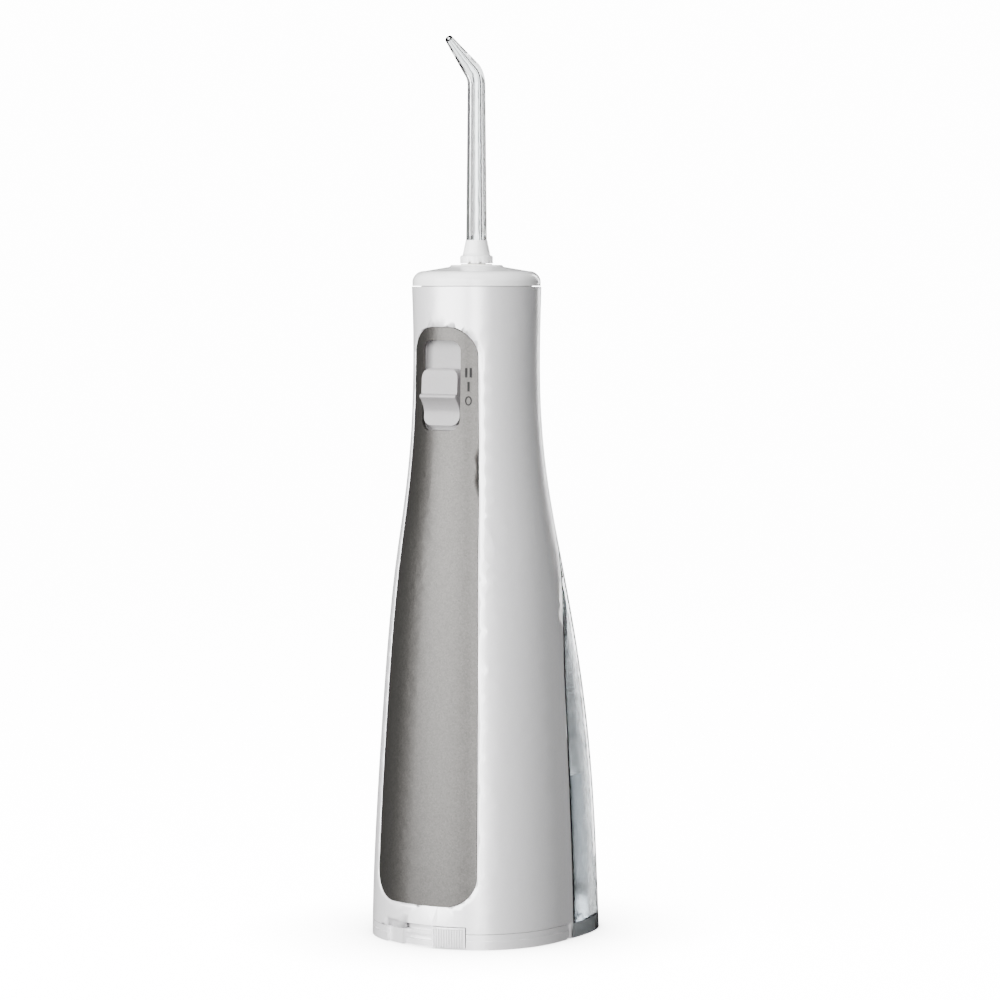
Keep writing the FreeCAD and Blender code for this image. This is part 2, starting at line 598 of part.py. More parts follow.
def make_hoses():
    rise = [Vector(0, DRIVE_Y, HEAD_HIGH - 2.8), Vector(0, DRIVE_Y, 158), Vector(0, 0, 172),
            Vector(0, 0, 190.4)]
    keep("outlet_hose", hose(rise, 12.0, 3.6, 2.96))
    feed = [Vector(0, PORT_Y, PORT_HIGH + 4), Vector(0, PORT_Y, 150), Vector(0, INLET_Y, 150),
            Vector(0, INLET_Y, HEAD_HIGH - 2.8)]
    keep("inlet_hose", hose(feed, 5.0, 2.9, 2.05))
    grommet = sleeve(4.1, 2.3, PORT_LOW, PORT_HIGH + 4, 0, PORT_Y).cut(bay(0.0))
    keep("port_grommet", grommet)


def make_chassis():
    base = block(-22, 14, -19, 4.6, 61.9, 63.6)
    mount = block(3.0, 4.6, DRIVE_Y - 9.5, DRIVE_Y + 9.5, 61.9, 82)
    plate = block(10.1, 12.6, DRIVE_Y - 7, DRIVE_Y + 7, 61.9, CYLINDER_LOW)
    leg = block(-9, -7, DRIVE_Y - 7, DRIVE_Y + 7, MOTOR_Z + 7.7, CYLINDER_LOW)
    shelf = block(-9, 12.6, DRIVE_Y - 9, DRIVE_Y + 9, CYLINDER_LOW - 2, CYLINDER_LOW)
    rear_post = block(-18, -14, DRIVE_Y - 6, DRIVE_Y + 9, 61.9, MOTOR_Z - 7.6)
    chassis = base.fuse(mount).fuse(plate).fuse(leg).fuse(shelf).fuse(rear_post)
    web = block(-9, 4.6, DRIVE_Y + 7, DRIVE_Y + 9, 81, CYLINDER_LOW)
    chassis = chassis.fuse(web).fuse(block(3.0, 4.6, DRIVE_Y + 7, DRIVE_Y + 9.5, 80, 84))
    chassis = chassis.cut(post(6.4, CYLINDER_LOW - 3, CYLINDER_LOW + 1, 0, DRIVE_Y))
    chassis = chassis.cut(bar(3.0, 0, 4.7, DRIVE_Y, MOTOR_Z)).cut(
        bar(BUSH_RADIUS, 9, 13, DRIVE_Y, GEAR_Z))
    screws = []
    for side in (-MOTOR_SCREW, MOTOR_SCREW):
        chassis = chassis.cut(bar(SCREW_RADIUS, 2, 5, DRIVE_Y + side, MOTOR_Z))
    for x in (-20, 8):
        chassis = chassis.cut(post(1.0, 60, 64, x, -16))
        screws.append(post(1.0, 60.3, 63.6, x, -16).fuse(post(1.9, 63.6, 64.8, x, -16)))
    keep("drive_chassis", chassis)
    keep("chassis_screws", Part.makeCompound(screws))


# ---------------------------------------------------------------- battery compartment
def cell_places():
    return [(column * CELL_PITCH, CELL_Y) for column in (-1, 0, 1)]


def make_batteries():
    inside = body(WALL + 0.15).cut(bay(-PARTITION - 0.15))
    flange = inside.common(slab(HOLDER_LOW, HOLDER_LOW + 1.4))
    top = block(-23.5, 23.5, -21, 4.6, HOLDER_TOP - 1.5, HOLDER_TOP).common(inside)
    holder = flange.fuse(top)
    for x, y in cell_places():
        holder = holder.fuse(post(CELL_RADIUS + 1.0, HOLDER_LOW, HOLDER_TOP, x, y))
    for x, y in cell_places():
        holder = holder.cut(post(CELL_RADIUS + 0.2, PLUG_TOP, HOLDER_TOP - 1, x, y))
    for x in (-20, 8):
        holder = holder.cut(post(1.0, 60, 62, x, -16))
    keep("battery_holder", holder)
    for number, (x, y) in enumerate(cell_places(), 1):
        can = post(CELL_RADIUS, CELL_LOW, CELL_LOW + CELL_LENGTH - 1.2, x, y)
        nub = post(2.7, CELL_LOW + CELL_LENGTH - 1.2, CELL_LOW + CELL_LENGTH, x, y)
        keep("battery_cell_%d" % number, can.fuse(nub))
    contacts = [post(LEAF_RADIUS, HOLDER_TOP - 1.5, HOLDER_TOP - 1.05, x, y) for x, y in cell_places()]
    keep("upper_contacts", Part.makeCompound(contacts))


def door_side(inset, low, high, clear):
    """What lies in front of the hinge, drawn in from the outer form."""
    front = block(-BIG, BIG, -BIG, HINGE_Y - clear, low, high)
    return body(inset).common(front)


def make_battery_door():
    door = door_side(0.0, 0, DOOR_TOP, 0).fuse(bar(BARREL, -BIG, BIG, HINGE_Y, HINGE_Z).common(OUTER))
    door = door.cut(door_side(WALL, 1.8, DOOR_TOP + 1, 4.5))
    door = door.fuse(door_side(5.4, 1.8, PLUG_TOP, 4.9))
    door = door.cut(door_side(7.4, WELL_FLOOR, PLUG_TOP + 1, 6.9))
    door = door.fuse(sector(28.0, 31.2, TRACK_FROM - 1, TRACK_TO + 1, 0, DOOR_TOP).common(OUTER))
    door = door.fuse(sector(28.4, 30.1, TRACK_DEEP, TRACK_TO, DOOR_TOP - 0.1, PLUG_TOP))
    door = door.cut(sector(31.3, BIG, TRACK_DEEP, TRACK_TO, -1, DOOR_TOP + 1))
    door = door.cut(sector(TRACK_FLOOR, BIG, TRACK_FROM, TRACK_DEEP + 0.1, -1, DOOR_TOP + 1))
    door = door.cut(sector(29.2, 31.4, TRACK_DEEP, TRACK_TO, 1.8, 3.8))
    door = door.cut(OUTER.cut(body(RIM_GROOVE)).common(slab(RIM_LINE, RIM_LINE + RIM_GROOVE)))
    for x0, x1 in ((-EAR_OUT - 0.3, -EAR_IN + 0.3), (EAR_IN - 0.3, EAR_OUT + 0.3)):
        door = door.cut(block(x0, x1, HINGE_Y - BARREL - 0.4, BIG, -1, DOOR_TOP + 4))
    door = door.cut(bar(PIN_RADIUS + RUN, -PIN_END - 2, PIN_END + 2, HINGE_Y, HINGE_Z))
    keep("battery_door", door)
    keep("door_hinge_pin", bar(PIN_RADIUS, -PIN_END, PIN_END, HINGE_Y, HINGE_Z))
    keep("door_seal", door_side(5.4, PLUG_TOP, PLUG_TOP + 0.9, 4.9).cut(body(7.3)))
    strip_top = WELL_FLOOR + 0.4
    keep("contact_strip", block(-20, 20, CELL_Y - 3.5, CELL_Y + 3.5, WELL_FLOOR, strip_top))
    springs = []
    leaf_z = CELL_LOW - 0.1 - LEAF_RADIUS
    for x, y in cell_places():
        leaf = bar(LEAF_RADIUS, x - 2.5, x + 2.5, y, leaf_z).cut(
            bar(LEAF_RADIUS - 0.4, x - 3, x + 3, y, leaf_z))
        springs.append(leaf.common(slab(strip_top, CELL_LOW)))
    keep("contact_springs", Part.makeCompound(springs))


def make_latch():
    face = sector(31.5, LATCH_RADIUS, LATCH_FROM, LATCH_TO, 0.4, LATCH_TOP)
    for rib in range(LATCH_RIBS):
        middle = LATCH_FROM + (LATCH_TO - LATCH_FROM) * (rib + 1) / (LATCH_RIBS + 1)
        face = face.cut(sector(LATCH_RADIUS - 0.35, BIG, middle - 0.3, middle + 0.3, -1, 6.4))
    tongue = sector(29.5, 31.6, LATCH_FROM + 2, LATCH_TO - 2, 2.1, 3.5)
    hook = sector(30.3, 31.6, LATCH_FROM + 2, LATCH_TO - 2, 5.3, LATCH_TOP)
    keep("battery_latch", face.fuse(tongue).fuse(hook))


# ---------------------------------------------------------------- reservoir
def fill_outline(grow, y0, y1):
    """Flat-bottomed outline with an arched top, extruded along Y."""
    half = FILL_HALF + grow
    spring = FILL_HIGH - FILL_HALF
    low = FILL_LOW - grow
    shape = block(-half, half, y0, y1, low, spring)
    arch = Part.makeCylinder(half, y1 - y0, Vector(0, y0, spring), Vector(0, 1, 0))
    return shape.fuse(arch)


def make_tank():
    outer = OUTER.common(bay(SEAM)).common(slab(DOOR_TOP, BIG * 2))
    cavity = body(TANK_WALL).common(bay(SEAM + TANK_WALL)).common(slab(-1, 146))
    tank = outer.cut(cavity)
    tank = tank.cut(fill_outline(0.5, 20, 60))
    spigot = post(2.2, SPIGOT_LOW, PORT_HIGH, 0, PORT_Y)
    foot = post(3.4, TUBE_TOP, SPIGOT_LOW + 8, 0, PORT_Y).common(bay(SEAM))
    tank = tank.fuse(spigot).fuse(foot).cut(post(1.2, TUBE_TOP - 1, PORT_HIGH + 1, 0, PORT_Y))
    tank = tank.cut(post(2.0, 90, TUBE_TOP, 0, PORT_Y))
    for x0, x1 in ((-12, -KNUCKLE), (KNUCKLE, 12)):
        lug = bar(FILL_BARREL, x0, x1, FILL_HINGE_Y, FILL_HINGE_Z).fuse(
            block(x0, x1, FILL_HINGE_Y - 2.2, FILL_HINGE_Y,
                  FILL_HINGE_Z - FILL_BARREL, FILL_HINGE_Z + FILL_BARREL))
        tank = tank.fuse(lug)
    tank = tank.cut(block(-KNUCKLE, KNUCKLE, FILL_HINGE_Y - 1.9, BIG, FILL_HINGE_Z - 2.0, FILL_LOW))
    pin = bar(FILL_PIN, -FILL_PIN_END, FILL_PIN_END, FILL_HINGE_Y, FILL_HINGE_Z)
    tank = tank.cut(pin)
    keep("tank", tank)
    base = OUTER.common(bay(SEAM)).common(slab(0, DOOR_TOP))
    recess = body(TANK_WALL).common(bay(SEAM + TANK_WALL)).common(slab(2.4, BIG))
    base = base.cut(recess)
    keep("tank_base", base)
    keep("suction_tube", sleeve(2.0, 1.2, 9.0, TUBE_TOP, 0, PORT_Y))
    keep("suction_filter", sleeve(3.2, 2.0, 4.0, 12.0, 0, PORT_Y).fuse(
        sleeve(3.2, 1.0, 3.4, 4.4, 0, PORT_Y)))
    keep("fill_hinge_pin", pin)


def make_fill_door():
    shell = OUTER.cut(body(TANK_WALL - 0.2))
    leaf = shell.common(fill_outline(0.0, 20, 60))
    arm = block(-8, 8, FILL_HINGE_Y - 1.6, FILL_HINGE_Y, FILL_HINGE_Z, FILL_LOW + 1.5).common(OUTER)
    knuckle = bar(FILL_BARREL, -8, 8, FILL_HINGE_Y, FILL_HINGE_Z)
    leaf = leaf.fuse(arm).fuse(knuckle).cut(
        bar(FILL_PIN + RUN, -20, 20, FILL_HINGE_Y, FILL_HINGE_Z))
    keep("fill_door", leaf)
    seal = body(TANK_WALL - 0.2).cut(body(TANK_WALL + 0.9))
    seal = seal.common(fill_outline(-1.6, 20, 60)).cut(fill_outline(-3.4, 10, 70))
    keep("fill_seal", seal)


def main():
    for make in (
        make_housing, make_panel, make_switch, make_cap, make_tip, make_motor, make_crank, make_pump,
        make_hoses, make_chassis, make_batteries, make_battery_door, make_latch, make_tank,
        make_fill_door,
    ):
        make()
    os.makedirs("parts", exist_ok=True)
    for name, shape in NODES.items():
        shape.exportStep("parts/" + name + ".step")
        box = shape.optimalBoundingBox()
        print("%-18s solids %d valid %s volume %9.1f  z %.1f..%.1f" % (
            name, len(shape.Solids), shape.isValid(), shape.Volume, box.ZMin, box.ZMax))


main()
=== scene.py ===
import json
import math

import bmesh
import bpy
from mathutils import Matrix, Vector
from mathutils.bvhtree import BVHTree


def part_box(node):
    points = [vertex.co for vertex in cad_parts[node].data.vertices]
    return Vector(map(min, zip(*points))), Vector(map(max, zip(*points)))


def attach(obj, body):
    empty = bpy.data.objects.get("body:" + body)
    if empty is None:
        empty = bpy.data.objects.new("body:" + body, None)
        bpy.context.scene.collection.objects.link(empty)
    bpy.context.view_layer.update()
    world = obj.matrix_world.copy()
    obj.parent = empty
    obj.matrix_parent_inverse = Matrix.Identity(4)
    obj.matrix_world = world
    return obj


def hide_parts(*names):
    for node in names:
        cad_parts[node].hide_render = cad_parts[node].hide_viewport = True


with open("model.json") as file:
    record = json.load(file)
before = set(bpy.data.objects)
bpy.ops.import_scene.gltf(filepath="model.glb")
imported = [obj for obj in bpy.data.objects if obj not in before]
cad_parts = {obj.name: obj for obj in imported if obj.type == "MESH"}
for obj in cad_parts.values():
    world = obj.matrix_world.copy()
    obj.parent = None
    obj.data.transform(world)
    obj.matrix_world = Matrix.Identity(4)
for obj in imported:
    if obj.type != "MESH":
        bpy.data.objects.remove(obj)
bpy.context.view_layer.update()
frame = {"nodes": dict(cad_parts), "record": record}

MM = 0.001

# ------------------------------------------------------------ places, from the frame
cap_low, cap_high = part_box("top_cap")
AXIS = Vector(((cap_low.x + cap_high.x) / 2, (cap_low.y + cap_high.y) / 2, 0))
panel_low, panel_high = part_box("front_panel")
slider_low, slider_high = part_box("switch_slider")
tank_low, tank_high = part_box("tank")
base_low, base_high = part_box("tank_base")
filter_low, filter_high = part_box("suction_filter")

MARK_REACH = 25 * MM                    # clear of the neck, from its axis
MARK_TURN = math.radians(28.2)          # the switch marks stand this far round from the front
MARK_HEIGHT = 3.1 * MM
WATER_TOP = 53 * MM
TANK_WALL = 2.4 * MM
CLEAR = 0.35 * MM                       # between the water and the tank's wall
ROUNDNESS = 3.1                         # power of the tank's squarish oval
TAPER_HEIGHT = 64 * MM
NEEDLE = 0.03 * MM                      # slimmer triangles than this only upset the shading
VIEW = math.radians(35)                 # the camera stands to the right of the front
RIGHT = Vector((math.cos(VIEW), math.sin(VIEW), 0))
AHEAD = Vector((-math.sin(VIEW), math.cos(VIEW), 0))
UP = Vector((0, 0, 1))


# ------------------------------------------------------------ materials
def linear(hex_colour):
    """sRGB hex to linear, with alpha."""
    parts = [int(hex_colour[i:i + 2], 16) / 255 for i in (0, 2, 4)]
    return [c / 12.92 if c <= 0.04045 else ((c + 0.055) / 1.055) ** 2.4 for c in parts] + [1.0]


def add(tree, kind, links=None, **settings):
    """Adds a node with its settings; links maps an input's name or index to an output socket."""
    node = tree.nodes.new(kind)
    for name, value in settings.items():
        if hasattr(node, name):
            setattr(node, name, value)
        else:
            node.inputs[name.replace("_", " ")].default_value = value
    for name, socket in (links or {}).items():
        tree.links.new(socket, node.inputs[name])
    return node


def surface(name, dark, light, rough, size_mm, depth_mm, detail=3.0, **shader_values):
    """A skin whose colour, gloss and relief all follow one grain of a real size in millimetres."""
    material = bpy.data.materials.new(name)
    material.use_nodes = True
    tree = material.node_tree
    shader = tree.nodes["Principled BSDF"]
    for socket, value in shader_values.items():
        shader.inputs[socket.replace("_", " ")].default_value = value
    place = add(tree, "ShaderNodeTexCoord")
    grain = add(tree, "ShaderNodeTexNoise", {"Vector": place.outputs["Object"]},
                Scale=1 / (size_mm * MM), Detail=detail, Roughness=0.5)
    colour = add(tree, "ShaderNodeMix", {"Factor": grain.outputs["Fac"]}, data_type="RGBA",
                 A=linear(dark), B=linear(light))
    gloss = add(tree, "ShaderNodeMapRange", {"Value": grain.outputs["Fac"]},
                To_Min=rough[0], To_Max=rough[1])
    relief = add(tree, "ShaderNodeBump", {"Height": grain.outputs["Fac"]},
                 Strength=0.2, Distance=depth_mm * MM)
    tree.links.new(colour.outputs["Result"], shader.inputs["Base Color"])
    tree.links.new(gloss.outputs["Result"], shader.inputs["Roughness"])
    tree.links.new(relief.outputs["Normal"], shader.inputs["Normal"])
    return material


def pearl_white_abs():
    """Injection-moulded ABS with pearl pigment: a satin sheen that falls off softly to grey."""
    return surface("pearl_white_abs_moulded", "e9e8ea", "f4f3f4", (0.30, 0.40), 0.45, 0.01,
                   IOR=1.52, Coat_Weight=0.25, Coat_Roughness=0.18, Metallic=0.35)


def gloss_white_abs():
    """Polished-tool ABS: even, bright white with a clear reflection."""
    return surface("gloss_white_abs_moulded", "f3f3f3", "f8f8f8", (0.20, 0.26), 4.0, 0.015,
                   IOR=1.53, Coat_Weight=0.3, Coat_Roughness=0.05)


def silver_paint():
    """Sprayed metallic lacquer: aluminium flakes, drawn 0.5 mm apart so that they show, under satin."""
    material = surface("silver_metallic_paint_sprayed", "403f3d", "565452", (0.34, 0.46), 0.42, 0.02,
                       4.0, Metallic=0.8, Coat_Weight=0.15, Coat_Roughness=0.3)
    tree = material.node_tree
    shader = tree.nodes["Principled BSDF"]
    place = add(tree, "ShaderNodeTexCoord")
    flakes = add(tree, "ShaderNodeTexVoronoi", {"Vector": place.outputs["Object"]}, Scale=1 / (0.5 * MM))
    glint = add(tree, "ShaderNodeMapRange", {"Value": flakes.outputs["Color"]}, To_Min=0.86, To_Max=1.14)
    plain = shader.inputs["Base Color"].links[0].from_socket
    sparkle = add(tree, "ShaderNodeVectorMath", {0: plain, "Scale": glint.outputs["Result"]},
                  operation="SCALE")
    tree.links.new(sparkle.outputs["Vector"], shader.inputs["Base Color"])
    return material


def cell_sleeve():
    """Shrunk film on a battery: charcoal, with a copper-coloured band round the positive end."""
    material = surface("printed_pvc_sleeve_shrunk", "1c1d20", "26272b", (0.22, 0.32), 1.5, 0.01)
    tree = material.node_tree
    shader = tree.nodes["Principled BSDF"]
    place = add(tree, "ShaderNodeTexCoord")
    height = add(tree, "ShaderNodeSeparateXYZ", {0: place.outputs["Object"]})
    band = add(tree, "ShaderNodeMath", {0: height.outputs["Z"]}, operation="GREATER_THAN")
    band.inputs[1].default_value = 44 * MM
    plain = shader.inputs["Base Color"].links[0].from_socket
    colour = add(tree, "ShaderNodeMix", {"Factor": band.outputs[0], "A": plain}, data_type="RGBA",
                 B=linear("b5733a"))
    tree.links.new(colour.outputs["Result"], shader.inputs["Base Color"])
    return material


FINISHES = {
    "white_body": pearl_white_abs(),
    "white_gloss": gloss_white_abs(),
    "silver_panel": silver_paint(),
    # light grey moulded ABS of the thumb switch and its recess: satin, faintly textured
    "light_grey": surface("satin_grey_abs_moulded", "848283", "908e8f", (0.34, 0.44), 0.8, 0.012,
                          IOR=1.52, Coat_Weight=0.15),
    # clear moulded styrene-acrylonitrile: glassy, with faint flow marks and a grey cast in its walls
    "clear": surface("clear_san_moulded", "c2c6c9", "cfd3d5", (0.10, 0.14), 9.0, 0.04, 1.0,
                     IOR=1.56, Transmission_Weight=1.0),
    # the tip is the same plastic, thin and polished, so that it stays colourless
    "clear_tip": surface("clear_san_tip_polished", "eef2f3", "f8fafa", (0.05, 0.07), 6.0, 0.02, 1.0,
                         IOR=1.52, Transmission_Weight=1.0),
    # the tank's welded foot, double-walled and so greyer
    "clear_foot": surface("clear_san_foot_welded", "9ca1a4", "a8acaf", (0.15, 0.20), 9.0, 0.02, 1.0,
                          IOR=1.56, Transmission_Weight=0.35),
    # water in the tank: still, with the faintest blue
    "water": surface("still_water", "e3e9ee", "e9eef2", (0.0, 0.01), 14.0, 0.02, 1.0,
                     IOR=1.33, Transmission_Weight=1.0),
    # spark-eroded charcoal plastic inside: dull and even
    "inner_plastic": surface("charcoal_abs_moulded", "3b3d40", "46484b", (0.45, 0.60), 1.2, 0.02),
    # natural acetal: milky, waxy and fairly smooth
    "pump_plastic": surface("natural_acetal_moulded", "dedcd2", "e8e6dd", (0.30, 0.42), 1.2, 0.01),
    # nitrile rubber: black, matt, with a bloom
    "seal_rubber": surface("black_nitrile_moulded", "1b1b1c", "262627", (0.55, 0.75), 0.6, 0.02),
    # silicone hose: off-white and soft to look at
    "hose_rubber": surface("natural_silicone_extruded", "cfcdc4", "dad8d0", (0.35, 0.50), 1.0, 0.01),
    # drawn steel: bright with fine marks
    "steel": surface("bright_steel_drawn", "a9abae", "c6c8ca", (0.20, 0.34), 0.6, 0.01, Metallic=1.0),
    # turned brass: warm, with tool marks
    "brass": surface("turned_brass", "b48f45", "cfae63", (0.20, 0.32), 0.5, 0.01, Metallic=1.0),
    # nickel plate on spring steel: clean and mirror-like
    "contact_nickel": surface("nickel_plated_steel", "c0bfb8", "d6d5cf", (0.12, 0.22), 0.8, 0.01,
                              Metallic=1.0),
    "cell_wrap": cell_sleeve(),
    # solder resist: glassy dark green
    "board": surface("green_solder_resist_printed", "0f4526", "15532f", (0.30, 0.40), 1.5, 0.02),
    # epoxy packages: black and matt
    "chip": surface("epoxy_package_moulded", "17171a", "212124", (0.40, 0.55), 0.4, 0.01),
    # pad-printed ink: charcoal, flat and slightly uneven
    "ink": surface("charcoal_ink_pad_printed", "141414", "1c1b1b", (0.5, 0.7), 0.3, 0.005, IOR=1.3),
}
NODE_SLOT = {row["node"]: row["material_slot"] for row in frame["record"]["subparts"]}


def finish_node(node):
    """Gives a CAD node its finish."""
    data = frame["nodes"][node].data
    data.materials.clear()
    data.materials.append(FINISHES[NODE_SLOT[node]])


# ------------------------------------------------------------ mesh tools
def piece(name, bm, finish, body, smooth_angle=35):
    """Turns a bmesh into a finished piece that rides on a body."""
    bmesh.ops.remove_doubles(bm, verts=bm.verts, dist=0.001 * MM)
    mesh = bpy.data.meshes.new(name)
    bm.to_mesh(mesh)
    bm.free()
    mesh.materials.append(FINISHES[finish])
    thing = bpy.data.objects.new(name, mesh)
    bpy.context.scene.collection.objects.link(thing)
    mesh.shade_smooth()
    mesh.set_sharp_from_angle(angle=math.radians(smooth_angle))
    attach(thing, body)
    return thing


def soften(thing, width_mm, segments=3, angle=45):
    """Rounds a piece's edges with a live bevel."""
    modifier = thing.modifiers.new("edges", "BEVEL")
    modifier.width = width_mm * MM
    modifier.segments = segments
    modifier.limit_method = "ANGLE"
    modifier.angle_limit = math.radians(angle)
    modifier.harden_normals = True


def polished(node, body, width_mm=0.0, finish=None, angle=35):
    """A merged, smooth-shaded copy of a CAD shell, which stands for it."""
    bm = bmesh.new()
    bm.from_mesh(frame["nodes"][node].data)
    bmesh.ops.remove_doubles(bm, verts=bm.verts, dist=0.001 * MM)
    bmesh.ops.dissolve_degenerate(bm, edges=bm.edges, dist=NEEDLE)
    slot = NODE_SLOT[node]
    thing = piece(node + "_shell", bm, finish or slot, body, angle)
    if width_mm:
        soften(thing, width_mm)
    even = thing.modifiers.new("even_shading", "WEIGHTED_NORMAL")
    even.keep_sharp = True
    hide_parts(node)
    return thing


# ------------------------------------------------------------ pieces of their own
def mark_frame(height):
    """Where a switch mark stands: on the panel beside the slot, turned to face outwards."""
    outward = Vector((math.sin(MARK_TURN), -math.cos(MARK_TURN), 0))
    outside = AXIS + outward * 2 * MARK_REACH + UP * height
    bm = bmesh.new()
    bm.from_mesh(frame["nodes"]["front_panel"].data)
    place = BVHTree.FromBMesh(bm).ray_cast(outside, -outward)[0]
    bm.free()
    turn = Matrix.Rotation(MARK_TURN, 4, "Z")
    return Matrix.Translation(place) @ turn


def printed_bars(name, count, height):
    """One or two upright strokes of ink."""
    bm = bmesh.new()
    for number in range(count):
        offset = (number - (count - 1) / 2) * 1.5 * MM
        place = mark_frame(height) @ Matrix.Translation((offset, 0, 0))
        size = Matrix.Diagonal((0.8 * MM, 0.16 * MM, MARK_HEIGHT, 1))
        bmesh.ops.create_cube(bm, size=1.0, matrix=place @ size)
    bmesh.ops.bevel(bm, geom=bm.edges[:], offset=0.03 * MM, offset_type="OFFSET", affect="EDGES",
                    segments=1, profile=0.5, material=-1)
    piece(name, bm, "ink", "handle")


def printed_ring(name, height):
    """The off mark: an upright rounded ring."""
    bm = bmesh.new()
    lie = Matrix.Rotation(math.radians(90), 4, "X") @ Matrix.Diagonal((1.15, 1.55, 1, 1))
    bmesh.ops.create_circle(bm, cap_ends=True, segments=24, radius=MM, matrix=lie)
    inner = bmesh.ops.inset_region(bm, faces=bm.faces[:], thickness=0.45 * MM, use_even_offset=True,
                                     use_boundary=True)
    middle = [face for face in bm.faces if face not in inner["faces"]]
    bmesh.ops.delete(bm, geom=middle, context="FACES")
    thick = bmesh.ops.extrude_face_region(bm, geom=bm.faces[:], use_keep_orig=True)
    raised = [v for v in thick["geom"] if isinstance(v, bmesh.types.BMVert)]
    bmesh.ops.translate(bm, verts=raised, vec=(0, -0.16 * MM, 0))
    bmesh.ops.translate(bm, verts=bm.verts, vec=(0, 0.08 * MM, 0))
    bmesh.ops.recalc_face_normals(bm, faces=bm.faces)
    bmesh.ops.transform(bm, matrix=mark_frame(height), verts=bm.verts)
    piece(name, bm, "ink", "handle")


def water():
    """The tank's fill: the tank's own rounded form, drawn in by the wall and cut flat in front."""
    bm = bmesh.new()
    bmesh.ops.create_cone(bm, cap_ends=True, segments=96, radius1=1.0, radius2=1.0, depth=1.0)
    uprights = [e for e in bm.edges if abs(e.verts[0].co.z - e.verts[1].co.z) > 0.5]
    bmesh.ops.subdivide_edges(bm, edges=uprights, cuts=6, use_grid_fill=True)
    low = base_low.z + TANK_WALL + 0.4 * MM
    half = (base_high.x - base_low.x) / 2 - TANK_WALL - CLEAR
    rear = base_high.y - AXIS.y - TANK_WALL - CLEAR
    for vert in bm.verts:
        height = low + (vert.co.z + 0.5) * (WATER_TOP - low)
        taper = (height / TAPER_HEIGHT) ** 1.6
        across, back = (math.copysign(abs(c) ** (2 / ROUNDNESS), c) for c in (vert.co.x, vert.co.y))
        vert.co = (across * (half - 2.5 * MM * taper), AXIS.y + back * (rear - 3.4 * MM * taper), height)
    front = tank_low.y + TANK_WALL + CLEAR
    bmesh.ops.bisect_plane(bm, geom=bm.verts[:] + bm.edges[:] + bm.faces[:], dist=1e-7,
                           plane_co=(0, front, 0), plane_no=(0, -1, 0), clear_outer=True)
    rim = [edge for edge in bm.edges if edge.is_boundary]
    bmesh.ops.holes_fill(bm, edges=rim, sides=0)
    bmesh.ops.recalc_face_normals(bm, faces=bm.faces)
    piece("water_fill", bm, "water", "reservoir")


# ------------------------------------------------------------ build
for node in frame["nodes"]:
    finish_node(node)
for node in ("housing", "switch_tray"):
    polished(node, "handle")
polished("front_panel", "handle")
polished("top_cap", "handle", 0.12)
polished("tank", "reservoir").visible_shadow = False
polished("tank_base", "reservoir", finish="clear_foot")
polished("fill_door", "filler").visible_shadow = False
polished("tip_tube", "tip", finish="clear_tip").visible_shadow = False
polished("tip_collar", "tip")
polished("switch_slider", "thumb_slide", 0.2)
polished("battery_door", "lower_door", 0.25)
polished("battery_latch", "latch", 0.08)
middle = (slider_low.z + slider_high.z) / 2
step = slider_high.z - middle
printed_bars("high_speed_mark", 2, middle + 0.87 * step)
printed_bars("low_speed_mark", 1, middle + 0.38 * step)
printed_ring("off_mark", middle - 0.12 * step)
water()


# ------------------------------------------------------------ stage, light and camera
def plain_floor():
    """A pale sweep: flat underfoot, turning up well behind the object; it glows, and its glow is dimmed
    near the object as a painted contact shadow.
    """
    bm = bmesh.new()
    bmesh.ops.create_grid(bm, x_segments=1, y_segments=1, size=3.0)
    back = [edge for edge in bm.edges if all(v.co.y > 2.9 for v in edge.verts)]
    lifted = bmesh.ops.extrude_edge_only(bm, edges=back)
    raised = [v for v in lifted["geom"] if isinstance(v, bmesh.types.BMVert)]
    bmesh.ops.translate(bm, verts=raised, vec=(0, 0, 3.0))
    corner = [edge for edge in bm.edges if all(v.co.y > 2.9 and v.co.z < 0.1 for v in edge.verts)]
    bmesh.ops.bevel(bm, geom=corner, offset=1.2, offset_type="OFFSET", affect="EDGES", segments=24,
                    profile=0.5, material=-1)
    bmesh.ops.rotate(bm, verts=bm.verts, cent=(0, 0, 0), matrix=Matrix.Rotation(VIEW, 3, "Z"))
    mesh = bpy.data.meshes.new("floor")
    bm.to_mesh(mesh)
    bm.free()
    mesh.shade_smooth()
    floor = bpy.data.objects.new("floor", mesh)
    bpy.context.scene.collection.objects.link(floor)
    material = surface("white_sweep_glowing_with_painted_contact_shadow", "fbfbfb", "fdfdfd", (0.85, 0.95), 60.0, 0.01,
                       Specular_IOR_Level=0.1, Emission_Color=(1, 1, 1, 1))
    tree = material.node_tree
    # painted contact shadow: ambient occlusion dims the floor's glow where it meets the object
    painted_contact_shadow = add(tree, "ShaderNodeAmbientOcclusion", Distance=0.05)
    glow = add(tree, "ShaderNodeMapRange", {"Value": painted_contact_shadow.outputs["AO"]}, From_Min=0.45, From_Max=1.0,
               To_Min=1.5, To_Max=14.0)
    tree.links.new(glow.outputs["Result"], tree.nodes["Principled BSDF"].inputs["Emission Strength"])
    floor.visible_diffuse = False
    floor.visible_glossy = False
    floor.visible_transmission = False
    mesh.materials.append(material)


def area_light(name, right, back, height, width, depth, power, aim_height=0.14):
    """A soft box placed by its distances from the object along the view's own directions."""
    light = bpy.data.lights.new(name, "AREA")
    light.shape = "RECTANGLE"
    light.size = width
    light.size_y = depth
    light.energy = power
    thing = bpy.data.objects.new(name, light)
    bpy.context.scene.collection.objects.link(thing)
    thing.location = RIGHT * right + AHEAD * back + UP * height
    aim = Vector((0, 0, aim_height)) - thing.location
    thing.rotation_euler = aim.to_track_quat("-Z", "Y").to_euler()


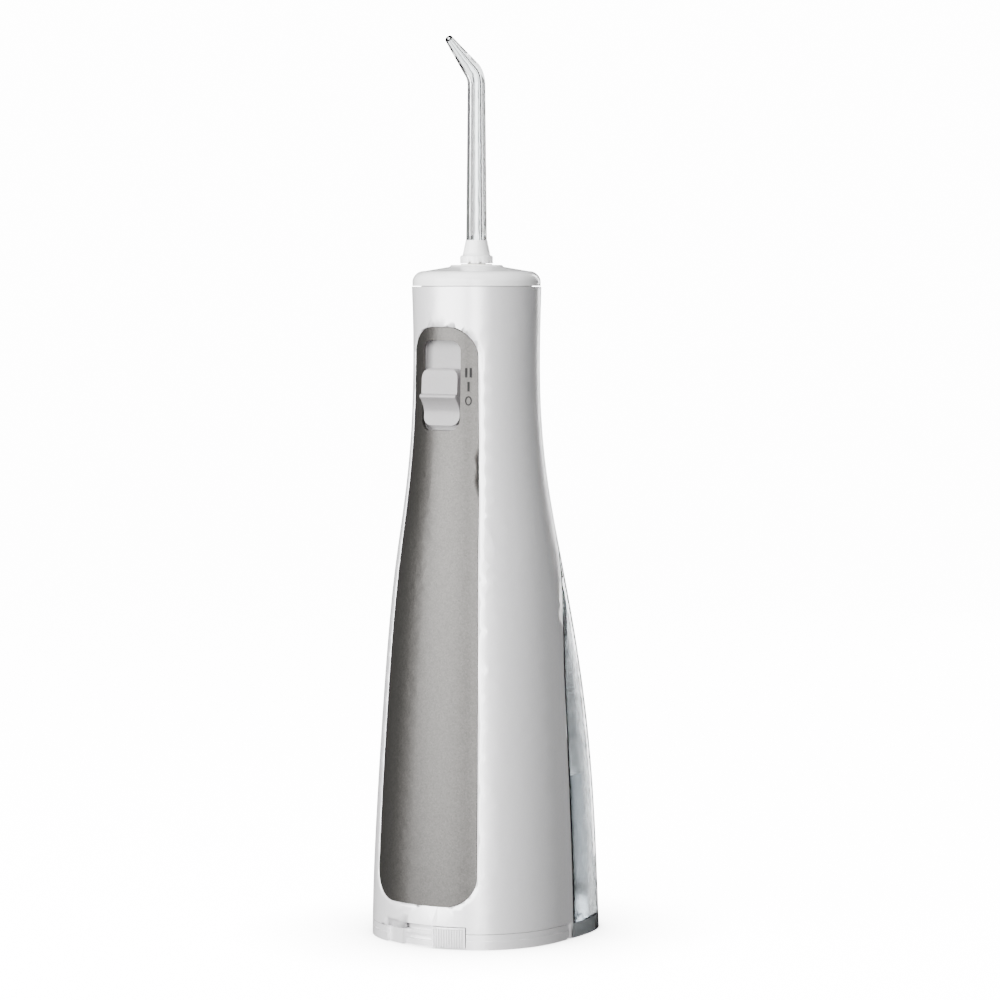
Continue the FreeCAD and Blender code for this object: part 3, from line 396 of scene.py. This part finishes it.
def studio():
    """A dim room with a pale glow behind the tip, which only what shines through clear plastic meets."""
    world = bpy.data.worlds.new("studio")
    world.use_nodes = True
    tree = world.node_tree
    room = tree.nodes["Background"]
    ray = add(tree, "ShaderNodeLightPath")
    toward = add(tree, "ShaderNodeTexCoord")
    tilt = math.radians(13)
    glow = add(tree, "ShaderNodeVectorMath", {0: toward.outputs["Generated"]}, operation="DOT_PRODUCT")
    glow.inputs[1].default_value = AHEAD * math.cos(tilt) + UP * math.sin(tilt)
    lobe = add(tree, "ShaderNodeMapRange", {"Value": glow.outputs["Value"]}, From_Min=0.955,
               From_Max=0.975, To_Min=0.25, To_Max=5.0)
    slope = add(tree, "ShaderNodeSeparateXYZ", {0: toward.outputs["Generated"]})
    ground = add(tree, "ShaderNodeMapRange", {"Value": slope.outputs["Z"]}, From_Min=-0.125,
                 From_Max=-0.145, To_Min=0.0, To_Max=3.0)
    bright = add(tree, "ShaderNodeMath", {0: lobe.outputs["Result"], 1: ground.outputs["Result"]},
                 operation="ADD")
    through = add(tree, "ShaderNodeMath", {0: bright.outputs[0], 1: ray.outputs["Is Transmission Ray"]},
                  operation="MULTIPLY")
    seen = add(tree, "ShaderNodeMath", {0: ray.outputs["Is Camera Ray"], 2: through.outputs[0]},
               operation="MULTIPLY_ADD")
    seen.inputs[1].default_value = 14.0
    strength = add(tree, "ShaderNodeMath", {0: seen.outputs[0]}, operation="ADD")
    strength.inputs[1].default_value = 0.05
    tree.links.new(strength.outputs[0], room.inputs["Strength"])
    room.inputs["Color"].default_value = (1, 1, 1, 1)
    bpy.context.scene.world = world


def lights_and_camera():
    area_light("key", -0.95, -0.85, 0.45, 1.5, 1.3, 75)
    area_light("front_fill", -0.02, -1.45, 0.35, 0.45, 1.2, 29)
    area_light("top", -0.2, -0.2, 1.3, 0.8, 0.8, 12)
    area_light("rim", 0.55, 1.0, 0.3, 0.12, 0.9, 5)
    camera = bpy.data.cameras.new("camera")
    camera.sensor_width = 36
    camera.lens = 125.7
    camera.clip_start = 0.05
    aim = AXIS + RIGHT * 0.0077 + UP * 0.1435
    eye = aim - AHEAD * 1.15 + UP * 0.0708
    thing = bpy.data.objects.new("camera", camera)
    bpy.context.scene.collection.objects.link(thing)
    thing.location = eye
    thing.rotation_euler = (aim - eye).to_track_quat("-Z", "Y").to_euler()
    bpy.context.scene.camera = thing


plain_floor()
studio()
lights_and_camera()
